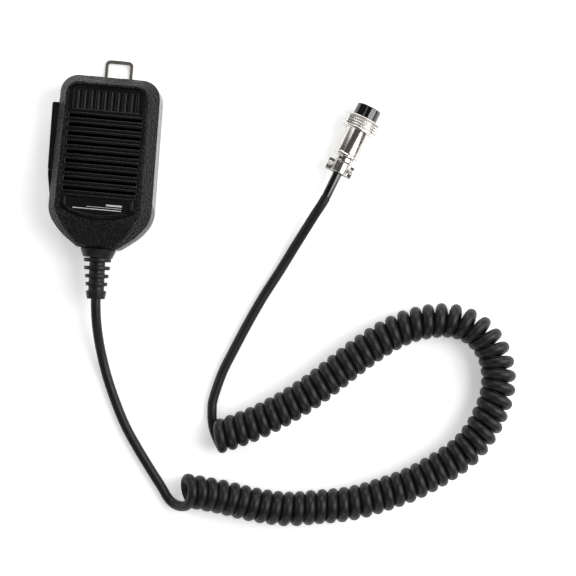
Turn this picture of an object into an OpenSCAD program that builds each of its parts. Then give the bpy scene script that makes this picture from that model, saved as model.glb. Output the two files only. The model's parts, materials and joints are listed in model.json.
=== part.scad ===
// Hand microphone with a curly cord and an eight-way screw-on plug.
// It lies on its back: +Z is out of its face, +Y points to the hanger, X runs across it.

/* [Housing] */
// Half width of the housing at its shoulders
half_top = 27.3; // [26.5:0.1:27.8]
// Half width of the housing just above the chin
half_low = 28.6; // [28.3:0.1:28.8]
// Distance from the reference line to the top end
top_end = 47.4; // [47.0:0.1:48.0]
// Distance from the reference line to where the chin starts to taper
chin_start = 30; // [29.5:0.1:30.5]
// Distance from the reference line to the bottom end
bottom_end = 47; // [46.8:0.1:47.2]
// Half width of the flat bottom end
half_end = 11; // [10.8:0.1:11.5]
// Thickness of the moulded walls
wall = 2.2; // [2.0:0.05:2.3]
// Height of the joint between the two covers
joint_z = 21; // [20.8:0.1:21.2]
// Height of that joint under the chin
chin_joint_z = 6; // [5.9:0.1:6.1]
// Overall depth of the housing
depth = 31.5; // [31.3:0.1:31.8]
// How far the sloping sides run in towards the face
face_inset = 4.8; // [4.6:0.1:4.9]

/* [Grille] */
// Half width of the grille panel
panel_half = 20.6; // [20.4:0.1:20.7]
// Top edge of the grille panel
panel_top = 40.9; // [40.5:0.1:41.0]
// Lowest point of the grille panel's curved lower edge
panel_low = -31.8; // [-32.0:0.1:-31.5]
// Radius of that lower edge
panel_arc = 45; // [43:1:48]
// Distance between the sound slots
slot_pitch = 4.95; // [4.8:0.05:5.0]
// Width of a sound slot
slot_gap = 1.7; // [1.5:0.1:1.9]
// Number of sound slots
slots = 9; // [7:2:9]
// Number of upright slats in the upper window
slats = 10; // [8:1:12]

/* [Push to talk] */
// How far the lever's upper end stands out from the housing's centre line
lever_out = 32.2; // [32:0.1:32.6]
// How far its lower end stands out
lever_low_out = 31.5; // [31.2:0.1:31.8]
// Upper end of the lever
lever_top = 32; // [31.5:0.1:32.2]
// Lower end of the lever
lever_low = -5.4; // [-5.5:0.1:-5.2]

/* [Hanger] */
// Outer width of the hanger loop
hanger_width = 16; // [15:0.5:16]
// Width of the steel strip
strip = 2; // [1.8:0.1:2.2]
// How far the hanger sits to the right of the middle
hanger_x = 0.7; // [0:0.1:1.5]
// Top of the hanger loop
hanger_top = 60.4; // [59:0.1:62]

/* [Cord] */
// Diameter of the cable
cable_d = 5.5; // [5.2:0.1:5.6]
// Outer diameter of the curly stretch
coil_d = 19.6; // [18:0.1:20]
// Length of the strain relief outside the housing
relief_len = 28; // [27.9:0.1:28.1]

/* [Plug] */
// Outer diameter of the coupling ring
ring_d = 19.2; // [19.2:0.1:20]
// Diameter of the plug's nose
nose_d = 14.2; // [14.0:0.1:14.3]
// Turn of the plug away from the housing's long axis, in degrees
plug_turn = 20.8; // [20:0.1:24]

/* [Hidden] */

$fn = 48;
eps = 0.01;
gap = 0.3; // between pieces that move past each other
fit = 0.05; // round pieces in their holes

// The origin is under the middle of the microphone, hanger and strain relief included
relief_end = -bottom_end - relief_len;
relief_lean = 2.7; // the ringed part gives sideways a little, in degrees
relief_bend = 5; // how far out that starts
shift_x = (lever_out - half_low) / 2;
shift_y = -(hanger_top + relief_end) / 2;

face_z = depth - wall; // inside of the face
panel_z = depth - 0.6; // front of the grille panel
board_z = 15; // underside of the circuit board
board_t = 1.6;
relief_z = 14; // axis of the strain relief
relief_r = 6.4; // its neck through the wall
pivot = [-24.6, -1.5]; // lever's pin
pin_r = 1;
lever_z = [5.5, 17.5];
switch_y = 22.5; // lever's switch
switch_z = 11.5;
spring_y = 11;
button_x = 9; // up and down buttons, either side of the middle
button_z = 13;
button_out = 1; // how far they stand out
post_top = [[-22.2, 38.5], [22.2, 38.5]];
post_low = [[-21.5, -30], [21.5, -30]];
post_split = 12; // where the upper posts meet
board_posts = [[-13, -20], [17, -20], [-13, 30.5], [17, 30.5]];
clip_y = -38;
hanger_screw_y = [29.5, 37.5];

// ---- helpers ----
module in_frame() { translate([shift_x, shift_y, 0]) children(); }

function unit(v) = v / norm(v);
function outward(a, b) = let (v = unit(b - a)) [v[1], -v[0]];
// Corner points of a convex outline, moved inwards by d
function inset(p, d) = [for (i = [0:len(p) - 1])
    let (n = len(p), a = p[(i + n - 1) % n], b = p[i], c = p[(i + 1) % n],
        n1 = outward(a, b), n2 = outward(b, c))
    b - d * (n1 + n2) / (1 + n1 * n2)];
// The same outline with each corner rounded to its own radius
function rounded(p, r, steps = 6) = [for (i = [0:len(p) - 1])
    let (n = len(p), a = p[(i + n - 1) % n], b = p[i], c = p[(i + 1) % n],
        u = unit(a - b), w = unit(c - b), half = acos(u * w) / 2,
        centre = b + unit(u + w) * r[i] / sin(half),
        turn = 180 - 2 * half,
        n1 = outward(a, b), start = atan2(n1[1], n1[0]))
    each r[i] < eps ? [b] : [for (k = [0:steps])
        centre + r[i] * [cos(start + turn * k / steps), sin(start + turn * k / steps)]]];

chin_bend = [21, -39.7]; // where the chin's sides bend a little
corners = [[half_low, -chin_start], [half_top, top_end], [-half_top, top_end],
    [-half_low, -chin_start], [-chin_bend[0], chin_bend[1]], [-half_end, -bottom_end],
    [half_end, -bottom_end], chin_bend];
corner_r = [16, 9.8, 9.8, 16, 30, 3.5, 3.5, 30];
module housing_outline(d) {
    polygon(rounded(inset(corners, d), [for (r = corner_r) max(r - d * 0.6, 1)]));
}

// Curved-bottom outline shared by the grille panel and the label
function shield(half, top, low, arc, r_top, r_low, steps = 8) =
    let (cy = low + arc, y_side = cy - sqrt(arc * arc - half * half), reach = half - r_low - 1)
    rounded(concat([[half, y_side], [half, top], [-half, top], [-half, y_side]],
        [for (k = [0:steps]) let (x = -reach + 2 * reach * k / steps)
            [x, cy - sqrt(arc * arc - x * x)]]),
        concat([r_low, r_top, r_top, r_low], [for (k = [0:steps]) 0]), 5);

module panel_outline(d) {
    polygon(shield(panel_half + d, panel_top + d, panel_low - d, panel_arc, 2.7, 3.5));
}
module label_outline(d) { polygon(shield(17.8 + d, -20.2 + d, -29.3 - d, panel_arc, 0.8, 4)); }

// A tube of round section swept along route points, r may differ from ring to ring
function route_dir(p, i) = unit(p[min(i + 1, len(p) - 1)] - p[max(i - 1, 0)]);
function ring_at(c, dir, r, sides) =
    let (side = unit(cross(dir, abs(dir[2]) > 0.9 ? [1, 0, 0] : [0, 0, 1])), up = cross(side, dir))
    [for (k = [0:sides - 1]) c + r * (side * cos(360 * k / sides) + up * sin(360 * k / sides))];
module sweep(p, r, sides = 8) {
    n = len(p);
    points = [for (i = [0:n - 1]) each ring_at(p[i], route_dir(p, i), r, sides)];
    sides_list = [for (i = [0:n - 2], k = [0:sides - 1])
        let (a = i * sides + k, b = i * sides + (k + 1) % sides)
        each [[a, b, b + sides], [a, b + sides, a + sides]]];
    start_cap = [for (k = [sides - 1:-1:0]) k];
    end_cap = [for (k = [0:sides - 1]) (n - 1) * sides + k];
    polyhedron(points, concat(sides_list, [start_cap, end_cap]), convexity = 8);
}

// ---- covers ----
// Everything that belongs to the front cover, seen from the side
module front_side(d = 0) {
    rotate([90, 0, 90]) linear_extrude(100, center = true)
        polygon([[-60, chin_joint_z + d], [-23.4, chin_joint_z + d], [-20.2, joint_z + d],
            [70, joint_z + d], [70, 60], [-60, 60]]);
}

// Half of space above the chin's slope, moved down by d
module over_chin(d) {
    translate([0, -33, depth - 0.2 - d]) rotate([27, 0, 0]) translate([-50, -60, 0]) cube([100, 60, 30]);
}

module front_body(d) {
    top = depth - d;
    difference() {
        union() {
            linear_extrude(joint_z) housing_outline(d);
            hull() {
                translate([0, 0, joint_z - eps]) linear_extrude(0.5) housing_outline(d);
                translate([0, 0, top - 1.1]) linear_extrude(0.1) housing_outline(d + face_inset - 0.2);
                translate([0, 0, top - 0.5]) linear_extrude(0.1) housing_outline(d + face_inset + 0.2);
                translate([0, 0, top - 0.1]) linear_extrude(0.1) housing_outline(d + face_inset + 0.9);
            }
        }
        over_chin(d);
    }
}

module relief_hole(r) {
    translate([0, -bottom_end + 5, relief_z]) rotate([90, 0, 0]) cylinder(h = 10, r = r);
    translate([-r, -bottom_end - 5, -5]) cube([2 * r, 10, relief_z + 5]);
}

module front_cover() color("#2b2c2e") in_frame() difference() {
    union() {
        intersection() {
            difference() {
                front_body(0);
                translate([0, 0, -eps]) front_body(wall - 0.2 * eps);
                translate([0, 0, -1]) linear_extrude(chin_joint_z) housing_outline(wall);
            }
            front_side();
        }
        intersection() {
            union() {
                for (p = post_top)
                    translate([p[0], p[1], post_split]) cylinder(h = 27.5 - post_split, r = 2.8);
                for (p = post_low)
                    translate([p[0], p[1], chin_joint_z]) cylinder(h = 27 - chin_joint_z, r = 2.8);
            }
            front_body(0.5);
        }
    }
    translate([0, 0, face_z - 2]) linear_extrude(8) panel_outline(0.1);
    // rebate for the panel's flange
    translate([0, 0, face_z - 2]) linear_extrude(2) panel_outline(0.65);
    relief_hole(relief_r + 0.1);
    for (p = post_top) translate([p[0], p[1], post_split - 1]) cylinder(h = 9, r = 1.3 + fit);
    for (p = post_low) translate([p[0], p[1], chin_joint_z - 1]) cylinder(h = 9, r = 1.3 + fit);
}

module guard() {
    translate([0, 0, 5]) linear_extrude(13)
        polygon([[-26.5, -5.75], [-30.9, -5.75], [-31.2, -6.15], [-31, -9], [-28.6, -22.5], [-26.5, -22.5]]);
    // ledge under the lever's lower end
    translate([0, 0, 3.6]) linear_extrude(1.5)
        polygon([[-26.5, -3], [-30.5, -3], [-30.9, -5.7], [-30.8, -7], [-26.5, -9]]);
}

module rear_outer() {
    hull() {
        linear_extrude(0.1) housing_outline(2.0);
        translate([0, 0, 0.6]) linear_extrude(0.1) housing_outline(0.9);
        translate([0, 0, 1.6]) linear_extrude(0.1) housing_outline(0.25);
        translate([0, 0, 3]) linear_extrude(joint_z - 3) housing_outline(0);
    }
}

module rear_shell() {
    difference() {
        union() {
            rear_outer();
            guard();
        }
        translate([0, 0, wall]) linear_extrude(40) housing_outline(wall);
        front_side();
        // fine shadow line along the joint
        translate([0, 0, joint_z - 0.25]) linear_extrude(1) difference() {
            housing_outline(-1);
            housing_outline(0.4);
        }
    }
}

module rear_cover() color("#34363a") in_frame() difference() {
    union() {
        rear_shell();
        // tongue that closes the cord's slot under the strain relief
        translate([-relief_r, -bottom_end, 0]) cube([2 * relief_r, wall, relief_z]);
        for (p = post_top) {
            translate([p[0], p[1], 1]) cylinder(h = 3.2, r = 4);
            translate([p[0], p[1], 1]) cylinder(h = post_split - 1, r = 2.8);
        }
        for (p = post_low) translate([p[0], p[1], 1]) cylinder(h = chin_joint_z - 1, r = 3.6);
        for (p = board_posts) translate([p[0], p[1], 1]) cylinder(h = board_z - 1, r = 2.4);
        for (s = [-1, 1]) translate([s * 6.5, clip_y, 1]) cylinder(h = relief_z - 5.2, r = 2.2);
        // pad behind the hanger
        translate([hanger_x - 10.5, 22.5, 1]) cube([21, 22.8, 4]);
        // lever's pivot: foot and upper arm
        translate([pivot[0], pivot[1], 1]) cylinder(h = 4.2, r = 2.6);
        translate([-27, pivot[1] - 2.6, lever_z[1] + 0.6]) cube([5, 5.2, 2.2]);
        // post that the lever's spring pushes against
        translate([-17.4, spring_y - 3.2, 1]) cube([1.8, 6.4, 13.2]);
        translate([-19.2, spring_y, switch_z]) rotate([0, 90, 0]) cylinder(h = 2, r = 1.2);
    }
    // opening for the lever
    translate([-40, lever_low - 0.35, lever_z[0] - 0.4])
        cube([40 - 22.6, lever_top - lever_low + 1.15, lever_z[1] - lever_z[0] + 0.8]);
    translate([pivot[0], pivot[1], 2.4]) cylinder(h = 20, r = pin_r + 0.02);
    // pocket and screw holes for the hanger
    translate([hanger_x - hanger_width / 2 - 0.3, 25.7, -1]) cube([hanger_width + 0.6, 40, 3.1]);
    for (y = hanger_screw_y) translate([hanger_x, y, -1]) cylinder(h = 5.3, r = 1.4 + fit);
    for (x = [-button_x, button_x]) translate([x - 4.8, top_end - 5, button_z - 3.3]) cube([9.6, 10, 6.6]);
    for (p = concat(post_top, post_low)) {
        translate([p[0], p[1], -1]) cylinder(h = 3.4, r = 2.7);
        translate([p[0], p[1], -1]) cylinder(h = 30, r = 1.5);
    }
    for (p = board_posts) translate([p[0], p[1], board_z - 8]) cylinder(h = 9, r = 1 + fit);
    for (s = [-1, 1]) translate([s * 6.5, clip_y, relief_z - 9]) cylinder(h = 9, r = 0.9 + fit);
    translate([0, -bottom_end + 5, relief_z]) rotate([90, 0, 0]) cylinder(h = 10, r = relief_r + 0.1);
}

// ---- grille ----
module grille_panel() color("#1d1e20") in_frame() difference() {
    union() {
        translate([0, 0, face_z - 1.2]) linear_extrude(1.2) panel_outline(0.6);
        translate([0, 0, face_z - eps]) linear_extrude(panel_z - face_z + eps) panel_outline(0);
        // raised rim round the label
        translate([0, 0, panel_z - eps]) linear_extrude(0.3) difference() {
            label_outline(1.1);
            label_outline(0.25);
        }
    }
    for (k = [0:slots - 1]) {
        y = 4 + slot_pitch * (k - (slots - 1) / 2);
        translate([-panel_half + 0.7, y - slot_gap / 2, 20])
            cube([2 * panel_half - 1.4, slot_gap, 20]);
        translate([-panel_half - 0.5, y - slot_pitch / 2 - 0.35, panel_z - 0.45])
            cube([2 * panel_half + 1, 0.7, 2]);
    }
    // window with its upright slats
    difference() {
        translate([-18.3, 27.8, panel_z - 1.5]) cube([36.6, 10.6, 4]);
        for (k = [0:slats - 1])
            translate([-18.3 + 36.6 * (k + 0.5) / slats - 0.8, 27, panel_z - 3]) cube([1.6, 12, 2.5]);
    }
    translate([0, 0, panel_z - 0.5]) linear_extrude(2) label_outline(0.1);
}

module label_plate() color("#0b0b0c") in_frame()
    translate([0, 0, panel_z - 0.5]) linear_extrude(0.4) label_outline(0);

// ---- hanger ----
module hanger() color("#8d8a84") in_frame() translate([hanger_x, 0, 0]) difference() {
    translate([0, 0, 0.3]) linear_extrude(1.6) difference() {
        half = hanger_width / 2;
        polygon(rounded([[half, 26], [half, hanger_top], [-half, hanger_top], [-half, 26]],
            [2, 3, 3, 2]));
        polygon(rounded([[half - strip, 41.5], [half - strip, hanger_top - strip],
            [strip - half, hanger_top - strip], [strip - half, 41.5]], [1, 1.2, 1.2, 1]));
    }
    for (y = hanger_screw_y) {
        translate([0, y, -1]) cylinder(h = 5, r = 1.6);
        translate([0, y, 0.3 - eps]) cylinder(h = 1.2 + eps, r1 = 2.9, r2 = 1.6);
    }
}

// Countersunk and pan-head screws: the shank runs up from the head
module sunk_screw(r, len, head_r) {
    difference() {
        union() {
            cylinder(h = 1.2, r1 = head_r, r2 = r);
            cylinder(h = len, r = r);
        }
        for (a = [0, 90]) rotate(a) translate([-head_r * 0.65, -0.35, -1]) cube([head_r * 1.3, 0.7, 1.6]);
    }
}
module pan_screw(r, len, head_r, head_h) {
    difference() {
        union() {
            rotate_extrude() polygon([[0, 0], [head_r * 0.6, 0], [head_r * 0.9, head_h * 0.25],
                [head_r, head_h * 0.6], [head_r, head_h], [0, head_h]]);
            cylinder(h = head_h + len, r = r);
        }
        for (a = [0, 90]) rotate(a)
            translate([-head_r * 0.6, -head_r * 0.13, -1])
                cube([head_r * 1.2, head_r * 0.26, 1 + head_h * 0.5]);
    }
}

module hanger_screws() color("silver") in_frame()
    for (y = hanger_screw_y) translate([hanger_x, y, 0.4]) sunk_screw(1.4, 3.7, 2.7);

module case_screws() color("#3a3a3c") in_frame() {
    for (p = post_top) translate([p[0], p[1], 0.6]) pan_screw(1.3, 16, 2.5, 1.75);
    for (p = post_low) translate([p[0], p[1], 0.6]) pan_screw(1.3, 10, 2.5, 1.75);
}

// ---- push to talk ----
// X of the lever's outer face at a height y along the housing
function lever_face(y) = -lever_low_out
    - (lever_out - lever_low_out) * (y - lever_low) / (lever_top - lever_low);

module ptt_lever() color("#232426") in_frame() difference() {
    union() {
        translate([0, 0, lever_z[0]]) linear_extrude(lever_z[1] - lever_z[0])
            polygon(rounded([[-25, lever_low], [-25, lever_top], [-lever_out, lever_top],
                [-lever_low_out, lever_low]], [0.5, 0.5, 1.2, 0.5], 4));
        // lip that stops the lever against the inside of the wall
        translate([-25, lever_top - 3, lever_z[0] + 1]) cube([1.3, 5.2, lever_z[1] - lever_z[0] - 2]);
        translate([pivot[0], pivot[1], lever_z[0] + 0.3])
            cylinder(h = lever_z[1] - lever_z[0] - 0.6, r = 2.4);
        translate([-25.2, switch_y, switch_z]) rotate([0, 90, 0]) cylinder(h = 2.6, r = 1.8);
        translate([-25.2, spring_y, switch_z]) rotate([0, 90, 0]) cylinder(h = 1.8, r = 1.2);
    }
    translate([pivot[0], pivot[1], 0]) cylinder(h = 30, r = pin_r + 0.06);
    // finger ribs across the outer face
    for (y = [8:2.4:25]) translate([lever_face(y) - 1.6, y, lever_z[0] + 1.5])
        cube([1.9, 0.9, lever_z[1] - lever_z[0] - 3]);
}

module ptt_pin() color("silver") in_frame()
    translate([pivot[0], pivot[1], 2.5]) cylinder(h = lever_z[1] - 2.5 + 2.6, r = pin_r);

spring_wire = 0.25;
spring_r = 1.8;
spring_turns = 6;
spring_x = [-24.7, -17.7];
module ptt_spring() color("silver") in_frame()
    sweep([for (k = [0:12 * spring_turns]) let (a = 30 * k)
        [spring_x[0] + (spring_x[1] - spring_x[0]) * k / (12 * spring_turns),
            spring_y + spring_r * cos(a), switch_z + spring_r * sin(a)]], spring_wire, 6);

module ptt_switch() color("#202428") in_frame() difference() {
    union() {
        translate([-19, switch_y - 3.3, switch_z - 2.8]) cube([6.6, 6.6, board_z - switch_z + 2.8]);
        for (x = [-17.5, -14]) translate([x, switch_y - 0.4, board_z - 1]) cube([0.6, 0.8, 3.4]);
    }
    translate([-20, switch_y, switch_z]) rotate([0, 90, 0]) cylinder(h = 5.6, r = 1.2 + fit);
}

module ptt_plunger() color("white") in_frame()
    translate([-22.3, switch_y, switch_z]) rotate([0, 90, 0]) cylinder(h = 5.2, r = 1.2);

// ---- up and down buttons ----
module button(x) {
    translate([x, top_end + button_out, button_z]) rotate([90, 0, 0]) {
        linear_extrude(5.2) polygon(rounded([[4.5, -3], [4.5, 3], [-4.5, 3], [-4.5, -3]], [1, 1, 1, 1], 4));
        translate([0, 0, 3.6]) linear_extrude(1.6) square([10.8, 7.8], center = true);
        cylinder(h = 11.6, r = 1.2);
    }
}
module tact_switch(x) difference() {
    union() {
        translate([x - 3, 33.2, button_z - 3]) cube([6, 4.4, 5]);
        for (s = [-1, 1]) translate([x + s * 2 - 0.35, 33.6, button_z + 1]) cube([0.7, 0.6, 4.2]);
    }
    translate([x, 40, button_z]) rotate([90, 0, 0]) cylinder(h = 5, r = 1.2 + fit);
}
module up_button() color("#3b3c3e") in_frame() button(button_x);
module down_button() color("#3b3c3e") in_frame() button(-button_x);
module up_switch() color("#26282b") in_frame() tact_switch(button_x);
module down_switch() color("#26282b") in_frame() tact_switch(-button_x);

// ---- electronics ----
module circuit_board() color("#1f5a36") in_frame() difference() {
    translate([-19, -26, board_z]) cube([40.5, 61.2, board_t]);
    for (p = board_posts) translate([p[0], p[1], board_z - 1]) cylinder(h = 5, r = 1.2);
    for (x = [-17.5, -14]) translate([x - 0.1, switch_y - 0.5, board_z - 1]) cube([0.8, 1, 5]);
    for (b = [-button_x, button_x], s = [-1, 1])
        translate([b + s * 2 - 0.45, 33.5, board_z - 1]) cube([0.9, 0.8, 5]);
}

module board_screws() color("silver") in_frame()
    for (p = board_posts) translate([p[0], p[1], board_z + board_t + 1.4]) mirror([0, 0, 1])
        pan_screw(1, 7, 1.9, 1.4);

module board_parts() color("#3a3f46") in_frame() translate([0, 0, board_z + board_t]) {
    translate([6, 2, 0]) cube([10, 4, 1.6]);
    translate([-16, 4, 0]) cube([6, 8, 1.6]);
    for (k = [0:3]) translate([12, 10 + 4 * k, 0]) cube([3.2, 1.6, 1.1]);
    for (k = [0:2]) translate([-15 + 4 * k, -12, 0]) cube([1.6, 3.2, 1.1]);
    translate([12, -12, 0]) cylinder(h = 6, r = 2.5);
    translate([17.5, -6, 0]) cylinder(h = 5, r = 2);
    translate([-14, -5, 0]) cylinder(h = 5, r = 2);
}

module wire_header() color("ivory") in_frame() translate([-8, -25, board_z + board_t]) difference() {
    cube([16, 5, 5]);
    for (k = [0:7]) translate([0.7 + 1.87 * k, -1, 1.5]) cube([1.5, 3, 2]);
}

module capsule_boot() color("#151515") in_frame() translate([0, 14, board_z + board_t]) difference() {
    cylinder(h = 8.6, r = 7);
    translate([0, 0, 2]) cylinder(h = 8, r = 4.85 + fit);
}

module mic_capsule() color("#b9bcc0") in_frame() translate([0, 14, board_z + board_t + 2]) difference() {
    cylinder(h = 6.7, r = 4.85);
    translate([0, 0, 6.2]) cylinder(h = 1, r = 1);
}

// Route points of the thin wires inside
red_route = [[7.8, 14, 19], [10, 9, 21], [9, 1, 24], [5, -5, 25], [-3, -8.5, 24.5],
    [-9, -12, 22], [-10, -15, 19.5], [-10, -16, 17.8], [-10, -16, 16.62]];
black_route = [[7.8, 12, 18.6], [8.5, 4, 19.5], [8.5, -4, 20], [4, -10, 19.5], [3, -14, 18.8],
    [3, -15.2, 17.8], [3, -15.2, 16.62]];
module capsule_wires() color("red") in_frame() {
    sweep(red_route, 0.6, 8);
    sweep(black_route, 0.6, 8);
}
module cord_wires() color("orange") in_frame() for (k = [0:6])
    sweep([[1.8 * (k - 3) / 3, -33.3, relief_z], [1.05 * (k - 3), -30.5, relief_z + 2.5],
        [1.6 * (k - 3), -28, relief_z + 4.6], [1.87 * (k - 3) - 0.95, -26, relief_z + 5.1],
        [1.87 * (k - 3) - 0.95, -24.3, relief_z + 5.1]], 0.28, 6);

// ---- cord ----
module cable_end() color("#2a2b2d") in_frame() translate([0, -bottom_end + 4.5, relief_z])
    rotate([-90, 0, 0]) cylinder(h = 8.9, r = cable_d / 2 - 0.1);

module cord_clip() color("silver") in_frame() difference() {
    translate([0, clip_y - 2, relief_z]) rotate([-90, 0, 0]) linear_extrude(4) difference() {
        union() {
            circle(r = cable_d / 2 + 1);
            translate([-8.7, 3]) square([17.4, 1.1]);
        }
        circle(r = cable_d / 2 - 0.05);
    }
    for (s = [-1, 1]) translate([s * 6.5, clip_y, 0]) cylinder(h = 30, r = 1.1);
}

module clip_screws() color("silver") in_frame()
    for (s = [-1, 1]) translate([s * 6.5, clip_y, relief_z - 1.8]) mirror([0, 0, 1])
        pan_screw(0.9, 5.5, 1.7, 1.2);

// Ringed rubber strain relief: flange, neck, flare, four rings and an end block
ring_radii = [7.6, 7.25, 6.6, 6.1];
ring_t = 2.1;
ring_pitch = 4.47;
module strain_relief() color("#1c1c1d") in_frame()
    translate([0, -bottom_end, relief_z]) rotate([90, 0, 0]) {
    rotate_extrude() polygon([[0, -4.4], [7.4, -4.4], [7.4, -2.5], [relief_r, -2.5], [relief_r, 0.1],
        [9.4, 0.1], [9.8, 0.6], [8.2, 4.7], [7.7, relief_bend], [0, relief_bend]]);
    translate([0, 0, relief_bend]) rotate([0, relief_lean, 0]) translate([0, 0, -relief_bend]) {
        rotate_extrude() polygon([[0, 4], [4.4, 4], [4.4, 23.4], [5.5, 23.4], [5.65, 23.9],
            [5, relief_len - 0.3], [4.7, relief_len], [0, relief_len]]);
        for (k = [0:3]) translate([0, 0, 6.3 + ring_pitch * k - ring_t / 2]) rotate_extrude()
            polygon([[3, 0], [ring_radii[k] - 0.4, 0], [ring_radii[k], 0.4],
                [ring_radii[k] - 0.1, ring_t - 0.4], [ring_radii[k] - 0.5, ring_t], [3, ring_t]]);
    }
}

rest = cable_d / 2; // height of a cable's axis when it lies down
lead_route = [[1.1, relief_end, relief_z], [1.4, -79, 13.8], [2.2, -87, 12], [3.6, -96, 8.8],
    [5.9, -106, 5.6], [9.7, -118, 3.3], [15.5, -131.5, rest], [22.5, -145, rest], [30.5, -157, rest],
    [39, -168.5, rest], [46.4, -178.2, rest], [50.4, -184, rest], [54.2, -187.5, 3.4],
    [58.4, -188, 5.6], [62, -185.8, 9.6]];
coil_route = [for (p = [[59, -177.2], [70, -178.1], [82.5, -179.3], [94.5, -181.3], [107.5, -182.5],
    [120.5, -182.5], [133.5, -180], [146, -178], [159, -174.5], [172, -169], [185, -163],
    [196, -156], [206, -148.5], [215, -140.5], [222, -130], [226.5, -119], [229.5, -107.5],
    [229, -95.5], [225.5, -85], [218.5, -76], [209, -70.5], [198, -69], [186, -71], [174, -75.5],
    [163, -82.5], [152.5, -91], [141.5, -101], [130.5, -111.5], [118.5, -121.5], [105.5, -130.5],
    [93, -138], [74.5, -146.5]])
    [p[0], p[1], coil_d / 2]];
plug_end = [123.7, -6.7, ring_d / 2];
tail_route = [[73.2, -145, rest], [71.5, -139, rest], [70.7, -132.5, rest], [70.8, -125.5, rest],
    [74.5, -110.5, rest], [80, -96.5, rest], [86.3, -81.5, rest], [93.4, -66, rest],
    [101.5, -50.5, rest], [108.2, -37, 3.8], [114.2, -25.2, 6.2], [118.5, -16.8, 8.8],
    [121.8, -10.7, ring_d / 2], plug_end];

module cord_lead() color("#2a2b2d") in_frame() sweep(lead_route, cable_d / 2, 8);
module cord_coil() color("#242527") in_frame() sweep(coil_route, coil_d / 2, 12);
module cord_tail() color("#2a2b2d") in_frame() sweep(tail_route, cable_d / 2, 8);

// ---- plug: its own axis runs from the cable's end to the nose ----
module on_plug() { in_frame() translate(plug_end) rotate([-90, 0, -plug_turn]) children(); }
clamp_at = [15.2, 21.6];
shell_at = 24.7;
ring_at_t = [40.9, 48.8];
plug_len = 55.9;
sleeve_r = 2.65; // the stripped end of the cable, as wide as its inner jacket

module plug_sleeve() color("#101011") on_plug() rotate_extrude()
    polygon([[0, 0], [sleeve_r - 0.2, 0], [sleeve_r, 0.3], [sleeve_r, 26], [0, 26]]);

module plug_shell() color("#c9c9c6") on_plug() {
    difference() {
        union() {
            rotate_extrude() polygon([[0, shell_at], [6.7, shell_at], [7.1, shell_at + 0.4],
                [7.1, shell_at + 1.4], [6.7, shell_at + 1.8], [6.9, shell_at + 2.4], [6.9, 42.1],
                [7.9, 42.1], [7.9, 43.1], [0, 43.1]]);
            // lower half of the cable clamp and its ears
            intersection() {
                translate([0, 0, 14.8]) cylinder(h = shell_at - 14.7, r = 5);
                translate([-10, 0.15, 0]) cube([20, 10, 40]);
            }
            translate([-7.85, 0.15, clamp_at[0]]) cube([15.7, 1.7, clamp_at[1] - clamp_at[0]]);
        }
        translate([0, 0, 10]) cylinder(h = 18, r = sleeve_r + fit);
        translate([0, 0, 31.9]) cylinder(h = 20, r = 6.2);
        translate([0, 0, 20]) cylinder(h = 15, r = 2.4);
        for (s = [-1, 1]) translate([s * 6.3, -1, (clamp_at[0] + clamp_at[1]) / 2]) rotate([-90, 0, 0])
            cylinder(h = 5, r = 0.8 + fit);
    }
}

module cable_clamp() color("#c9c9c6") on_plug() difference() {
    union() {
        intersection() {
            translate([0, 0, clamp_at[0]]) cylinder(h = clamp_at[1] - clamp_at[0], r = 5);
            translate([-10, -10, 0]) cube([20, 9.85, 40]);
        }
        translate([-7.85, -1.85, clamp_at[0]]) cube([15.7, 1.7, clamp_at[1] - clamp_at[0]]);
    }
    translate([0, 0, 10]) cylinder(h = 15, r = sleeve_r + fit);
    for (s = [-1, 1]) translate([s * 6.3, -3, (clamp_at[0] + clamp_at[1]) / 2]) rotate([-90, 0, 0])
        cylinder(h = 5, r = 1);
}

module clamp_screws() color("silver") on_plug() for (s = [-1, 1])
    translate([s * 6.3, -3.15, (clamp_at[0] + clamp_at[1]) / 2]) rotate([-90, 0, 0])
        pan_screw(0.8, 3.4, 1.5, 1.3);

contact_ring = 4.5;
contacts = [for (k = [0:7]) k == 0 ? [0, 0] : contact_ring * [cos(360 * k / 7 + 90), sin(360 * k / 7 + 90)]];
module plug_insert() color("#17120f") on_plug() difference() {
    union() {
        translate([0, 0, 32]) cylinder(h = 12, r = 6.15);
        rotate_extrude() polygon([[0, 43.2], [nose_d / 2 - 0.2, 43.2],
            [nose_d / 2 - 0.2, 48.9], [nose_d / 2, 48.9], [nose_d / 2, plug_len - 0.4],
            [nose_d / 2 - 0.4, plug_len], [0, plug_len]]);
    }
    for (c = contacts) translate([c[0], c[1], plug_len - 8]) cylinder(h = 10, r = 0.8);
    translate([-1.1, -nose_d / 2 - 1, 47]) cube([2.2, 2.2, 20]);
}

module plug_contacts() color("gold") on_plug() for (c = contacts)
    translate([c[0], c[1], plug_len - 8 + eps]) difference() {
        cylinder(h = 7.3, r = 0.75, $fn = 24);
        translate([0, 0, 2]) cylinder(h = 10, r = 0.45, $fn = 24);
    }

module coupling_ring() color("#cfcfcc") on_plug() rotate_extrude(convexity = 6)
    polygon([[7, ring_at_t[0]], [ring_d / 2 - 0.5, ring_at_t[0]], [ring_d / 2, ring_at_t[0] + 0.5],
        [ring_d / 2, ring_at_t[1] - 0.6], [ring_d / 2 - 0.6, ring_at_t[1]], [8, ring_at_t[1]],
        [8, ring_at_t[0] + 1], [7, ring_at_t[0] + 1]]);

front_cover();
grille_panel();
label_plate();
rear_cover();
hanger();
hanger_screws();
case_screws();
ptt_lever();
ptt_pin();
ptt_spring();
ptt_switch();
ptt_plunger();
up_button();
down_button();
up_switch();
down_switch();
circuit_board();
board_screws();
board_parts();
wire_header();
capsule_boot();
mic_capsule();
capsule_wires();
cord_wires();
cable_end();
cord_clip();
clip_screws();
strain_relief();
cord_lead();
cord_coil();
cord_tail();
plug_sleeve();
plug_shell();
cable_clamp();
clamp_screws();
plug_insert();
plug_contacts();
coupling_ring();
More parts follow.
